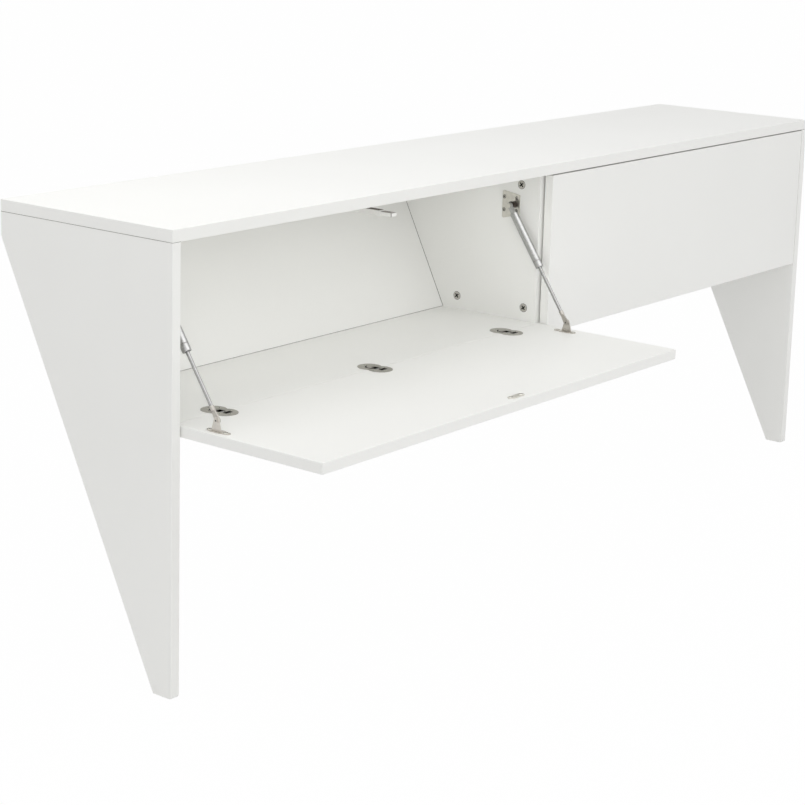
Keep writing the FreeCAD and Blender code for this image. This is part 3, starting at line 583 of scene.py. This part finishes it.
def islands(node):
    """Corner places of each separate solid in a node."""
    build = bmesh.new()
    build.from_mesh(nodes[node].data)
    bmesh.ops.remove_doubles(build, verts=build.verts, dist=SAME_PLACE)
    seen = set()
    found = []
    for start in build.verts:
        if start in seen:
            continue
        seen.add(start)
        solid = [start]
        for corner in solid:            # grows until it holds all that are linked
            linked = [edge.other_vert(corner) for edge in corner.link_edges]
            new = [other for other in linked if other not in seen]
            seen.update(new)
            solid += new
        found.append(np.array([tuple(corner.co) for corner in solid]))
    build.free()
    return found


def piece_from(build, name, finishes, body):
    """Object on its body from a finished build, with its materials by name."""
    bmesh.ops.recalc_face_normals(build, faces=build.faces)
    mesh = bpy.data.meshes.new(name)
    build.to_mesh(mesh)
    build.free()
    for finish in finishes:
        mesh.materials.append(materials[finish])
    piece = bpy.data.objects.new(name, mesh)
    bpy.context.scene.collection.objects.link(piece)
    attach(piece, body)
    return piece


# ---- screws -------------------------------------------------------------------
def screw_facts(solid):
    """Seat on the head's face, with head radius, shank radius and length in millimetres."""
    middle = solid.mean(axis=0)
    axis = np.linalg.svd(solid - middle, full_matrices=False)[2][0]
    along = (solid - middle) @ axis
    radius = np.linalg.norm(solid - middle - np.outer(along, axis), axis=1)
    if radius[along > 0].max() < radius[along < 0].max():
        axis = -axis
        along = -along
    face = solid[along > along.max() - SAME_PLACE].mean(axis=0)
    away = solid - face
    radius = np.linalg.norm(away - np.outer(away @ axis, axis), axis=1)
    head = radius.max() / MM
    shank = radius[along < along.min() + SAME_PLACE].max() / MM
    length = (along.max() - along.min()) / MM
    return seat_at(Vector(face), Vector(axis)), head, shank, length


def add_screw(build, seat, head, shank, length):
    """Raised countersunk screw with a cross recess."""
    rim = turned_loop(build, seat, head, 0.0)
    crown = turned_loop(build, seat, CROWN_SHARE * head, HEAD_RISE)
    neck = turned_loop(build, seat, shank, shank - head)
    end = turned_loop(build, seat, shank, TIP_LENGTH - length)
    tip = turned_loop(build, seat, TIP_SHARE * shank, -length)
    bands(build, [crown, rim, neck, end, tip])
    cap(build, tip)
    add_recess(build, seat, crown, CROSS_REACH * head, CROSS_HALF_WIDTH, HEAD_RISE,
               CROSS_DEPTH, CROSS_TAPER)


def add_collar(build, seat, head, width):
    """Groove of that width round a screw head, with painted shade on its floor, in a raised
    collar.
    """
    groove = head + width
    edge = groove + COLLAR_WIDTH
    square_ring(build, seat, head, groove, 0.0, GROOVE_FLOOR, PAINTED_SHADE)
    turned_ring(build, seat, ((groove, 0.0), (groove + COLLAR_INNER_SLOPE, COLLAR_RISE),
                              (edge - COLLAR_OUTER_SLOPE, COLLAR_RISE), (edge, 0.0)))


def make_screws(node, slot, groove=None):
    """Crossed screws in place of a node of plain ones, each in a groove of painted shade where
    one is given.
    """
    build = bmesh.new()
    for solid in islands(node):
        seat, head, shank, length = screw_facts(solid)
        add_screw(build, seat, head, shank, length)
        if groove is not None:
            add_collar(build, seat, head, groove)
    piece = piece_from(build, f"crossed_{node}", (slot, "recess"), carried_by[node])
    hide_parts(node)


def make_all_screws():
    """Crossed screws of the boards, hinges, struts and latches."""
    make_screws("strut_plate_screws", "nickel", PLATE_GROOVE)
    make_screws("shelf_cup_screws", "nickel")
    make_screws("latch_screws", "steel")
    make_screws("back_panel_screws", "steel")
    for side in SIDES:
        make_screws(f"{side}_flap_cup_screws", "nickel")
        make_screws(f"{side}_bracket_screws", "nickel", BRACKET_GROOVE)
        make_screws(f"{side}_strike_screws", "nickel", BRACKET_GROOVE)


# ---- cams, rivets and crimps ------------------------------------------------------
def cam_facts(solid):
    """Seat on the open face of a cam, with its radius in millimetres."""
    low, high = solid.min(axis=0), solid.max(axis=0)
    size = high - low
    axis = int(size.argmin())
    at_high = (solid[:, axis] > high[axis] - SAME_PLACE).sum()
    at_low = (solid[:, axis] < low[axis] + SAME_PLACE).sum()
    opens_high = at_high > at_low       # the open face has the corners of its cross too
    outward = Vector((0, 0, 0))
    outward[axis] = 1 if opens_high else -1
    place = Vector((low + high) / 2)
    place[axis] = high[axis] if opens_high else low[axis]
    turn = Matrix.Rotation(math.radians(CAM_CROSS_TURN), 4, "Z")
    return seat_at(place, outward) @ turn, size.max() / 2 / MM


def make_cam_faces():
    """Turned faces of the cams, with their crosses and the gap round them in painted shade."""
    build = bmesh.new()
    for solid in islands("cam_fittings"):
        seat, radius = cam_facts(solid)
        outer = radius + CAM_FACE_OVERLAP
        foot = turned_loop(build, seat, outer, 0.0)
        rim = turned_loop(build, seat, outer, CAM_FACE_RISE - CAM_EDGE)
        top = turned_loop(build, seat, outer - CAM_EDGE, CAM_FACE_RISE)
        bands(build, [foot, rim, top])
        cap(build, foot)
        add_recess(build, seat, top, CAM_CROSS_REACH, CAM_CROSS_HALF_WIDTH, CAM_FACE_RISE,
                   CAM_CROSS_DEPTH)
        square_ring(build, seat, outer, outer + CAM_SHADOW_WIDTH, 0.0, CAM_SHADOW_RISE, PAINTED_SHADE)
    piece_from(build, "cam_faces", ("cam_zinc", "recess"), carried_by["cam_fittings"])


def make_dimple(node, pivot, way):
    """Painted shade on the floor of the dimple in the rivet of a node, in its face along X, that
    way.
    """
    corners = corners_of(node)
    away = np.linalg.norm(corners[:, 1:] - pivot, axis=1)
    face = way * (way * corners[away < PIVOT_REACH * MM][:, 0]).max()
    seat = seat_at(Vector((face, *pivot)), Vector((way, 0, 0)))
    build = bmesh.new()
    top = turned_loop(build, seat, DIMPLE_RADIUS, -DIMPLE_LEVEL)
    foot = turned_loop(build, seat, DIMPLE_RADIUS - DIMPLE_TAPER,
                       -DIMPLE_LEVEL - DIMPLE_THICKNESS)
    closed_bands(build, [top, foot])
    piece_from(build, f"dimple_{node}", ("recess",), carried_by[node])


def make_rivet_dimples():
    """Painted shade in the dimples of the rivets at the lower pivot of each strut."""
    for side, outward in OUTWARD.items():
        for place, inward in (("outer", -outward), ("inner", outward)):
            rod_end = f"{side}_{place}_strut_rod_end"
            pivot = np.array(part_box(rod_end)[0])[1:] + EYE_RADIUS * MM
            make_dimple(rod_end, pivot, inward)
            make_dimple(f"{side}_{place}_strut_bracket", pivot, -inward)


def make_crimp_line(strut):
    """Painted shade line in the crimped groove round the open end of a strut's cylinder."""
    rod = np.unique(corners_of(f"{strut}_rod").round(CORNER_DIGITS), axis=0)
    middle = rod.mean(axis=0)
    axis = np.linalg.svd(rod - middle, full_matrices=False)[2][0]
    cylinder = f"{strut}_cylinder"
    corners = corners_of(cylinder)
    if (corners.mean(axis=0) - middle) @ axis > 0:
        axis = -axis
    reach = ((corners - middle) @ axis).max()
    seat = seat_at(Vector(middle + axis * reach), Vector(axis))
    build = bmesh.new()
    square_ring(build, seat, CYLINDER_RADIUS - CRIMP_DEPTH, CYLINDER_RADIUS - CRIMP_LEVEL,
                -CRIMP_START - CRIMP_WIDTH, -CRIMP_START)
    piece_from(build, f"crimp_{cylinder}", ("line_grey",), carried_by[cylinder])


# ---- hinges -------------------------------------------------------------------
def make_hinge_window_shade(node, axis):
    """Sheets of painted shade over the windows of the cups of a node, whose face looks along
    axis.
    """
    corners = corners_of(node)
    face = corners[:, axis].max()
    depth = face - corners[:, axis]
    floor = corners[abs(depth - WINDOW_DEPTH * MM) < WINDOW_TOLERANCE * MM]
    sides = sorted({round(float(x), SIDE_DIGITS) for x in floor[:, 0]})
    build = bmesh.new()
    for x0, x1 in zip(sides[::2], sides[1::2]):
        low = floor.min(axis=0) - SHADE_SHEET_MARGIN * MM
        high = floor.max(axis=0) + SHADE_SHEET_MARGIN * MM
        low[0], high[0] = x0 - SHADE_SHEET_SIDE * MM, x1 + SHADE_SHEET_SIDE * MM
        low[axis] = face + (SHADE_SHEET_RISE - SHADE_SHEET_THICKNESS) * MM
        high[axis] = face + SHADE_SHEET_RISE * MM
        add_block(build, low, high)
    piece_from(build, f"window_shade_{node}", ("recess",), carried_by[node])


def add_groove_line(build, seat):
    """Painted shade line along the curved groove of a shelf cup."""
    inner = GROOVE_RADIUS - GROOVE_HALF_WIDTH
    outer = GROOVE_RADIUS + GROOVE_HALF_WIDTH
    section = ((inner, -GROOVE_RISE), (outer, -GROOVE_RISE), (outer, GROOVE_RISE),
               (inner, GROOVE_RISE))
    loops = []
    for i in range(TURN_STEPS + 1):
        angle = math.radians(GROOVE_START + (GROOVE_END - GROOVE_START) * i / TURN_STEPS)
        ray = Vector((math.cos(angle), math.sin(angle), 0))
        loops.append([build.verts.new(seat @ ((ray * radius + Vector((0, 0, height))) * MM))
                      for radius, height in section])
    closed_bands(build, loops, PAINTED_SHADE)


def make_slot_covers(node):
    """Covers over the rear of the slots in a node of shelf cups, and painted shade along their
    curved grooves.
    """
    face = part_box(node)[1].z
    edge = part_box("bottom_shelf")[0].y
    build = bmesh.new()
    for cup in islands(node):
        middle = (cup[:, 0].min() + cup[:, 0].max()) / 2
        seat = Matrix.Translation((middle + GROOVE_CENTRE[0] * MM,
                                   edge + GROOVE_CENTRE[1] * MM, face))
        add_groove_line(build, seat)
        add_block(build, (middle - COVER_HALF_WIDTH * MM, edge + COVER_START * MM,
                          face - (COVER_LEVEL + COVER_THICKNESS) * MM),
                  (middle + COVER_HALF_WIDTH * MM, edge + COVER_END * MM,
                   face - COVER_LEVEL * MM))
    finishes = ("cup_nickel", "recess")
    piece_from(build, f"covers_{node}", finishes, carried_by[node])


# ---- painted shadows at board joints ------------------------------------------
def add_back_joint_shadows(build):
    """Painted shadow lines where the back panel meets the shelf, the side panels and the divider.
    """
    corners = corners_of("back_panel")
    level = corners[:, 2]
    foot = corners[level < level.min() + SAME_PLACE][:, 1].min()
    head = corners[level > level.max() - SAME_PLACE][:, 1].min()
    low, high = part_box("back_panel")
    divider_low, divider_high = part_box("centre_divider")
    shelf_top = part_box("bottom_shelf")[1].z
    start = foot + (head - foot) / (high.z - low.z) * (shelf_top - low.z)
    half = JOINT_HALF_WIDTH * MM
    for x0, x1 in ((low.x, divider_low.x), (divider_high.x, high.x)):
        add_block(build, (x0 + JOINT_END * MM, start - half, shelf_top - half),
                  (x1 - JOINT_END * MM, start + half, shelf_top + half))
        for x in (x0, x1):
            ends = [[build.verts.new((x + i * half, y + j * half, z))
                     for i, j in ((-1, -1), (1, -1), (1, 1), (-1, 1))]
                    for y, z in ((start, shelf_top + 2 * half), (head, high.z))]
            closed_bands(build, ends)


def add_top_shadow_lines(build):
    """Painted shadow lines where the top lies on the side panels, along their fronts and outer
    faces.
    """
    half = LINE_HALF_WIDTH * MM
    rise = LINE_RISE * MM
    depth = LINE_DEPTH * MM
    for side in SIDES:
        low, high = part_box(f"{side}_side_panel")
        outer = low.x if side == "left" else high.x
        add_block(build, (low.x - rise, low.y - rise, high.z - half),
                  (high.x + rise, low.y + depth, high.z + half))
        add_block(build, (outer - rise, low.y + 2 * depth, high.z - half),
                  (outer + rise, high.y - depth, high.z + half))


def make_joint_shadows():
    """Painted shadow lines where boards meet."""
    build = bmesh.new()
    add_back_joint_shadows(build)
    add_top_shadow_lines(build)
    piece_from(build, "painted_joint_shadows", ("shadow_grey",), carried_by["back_panel"])


# ---- latches ------------------------------------------------------------------
def make_latch_painted_shade(side):
    """Painted shade on top of a push latch and its plunger, and in a band round the tip."""
    housing = f"{side}_latch_housing"
    plunger = f"{side}_latch_plunger"
    low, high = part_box(plunger)
    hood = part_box(housing)[0].y
    rise = LATCH_SHADE_RISE * MM
    inset = LATCH_SHADE_INSET * MM
    tip_shade = low.y + TIP_SHADE_START * MM
    strip = tip_shade + TIP_SHADE_LENGTH * MM
    build = bmesh.new()
    add_block(build, (low.x - rise, tip_shade, low.z - rise), (high.x + rise, strip, high.z + rise))
    add_block(build, (low.x + inset, strip, high.z),
              (high.x - inset, strip + LATCH_SHADE_LENGTH * MM, high.z + rise))
    piece_from(build, f"latch_shade_{plunger}", ("line_grey",), carried_by[plunger])
    build = bmesh.new()
    top = high.z + HOOD_RISE * MM
    add_block(build, (low.x, hood + HOOD_SHADE_START * MM, top),
              (high.x, hood + HOOD_SHADE_END * MM, top + rise))
    piece_from(build, f"latch_shade_{housing}", ("shadow_grey",), carried_by[housing])


make_camera()
make_world()
make_floor()
make_lights()
dress()
make_all_screws()
make_cam_faces()
make_rivet_dimples()
for strut in STRUTS:
    make_crimp_line(strut)
for side in SIDES:
    make_hinge_window_shade(f"{side}_flap_hinge_cups", FLAP_CUP_AXES[side])
make_joint_shadows()
for side in SIDES:
    make_slot_covers(f"{side}_shelf_hinge_cups")
    make_latch_painted_shade(side)
bpy.context.scene.view_settings.view_transform = "Standard"
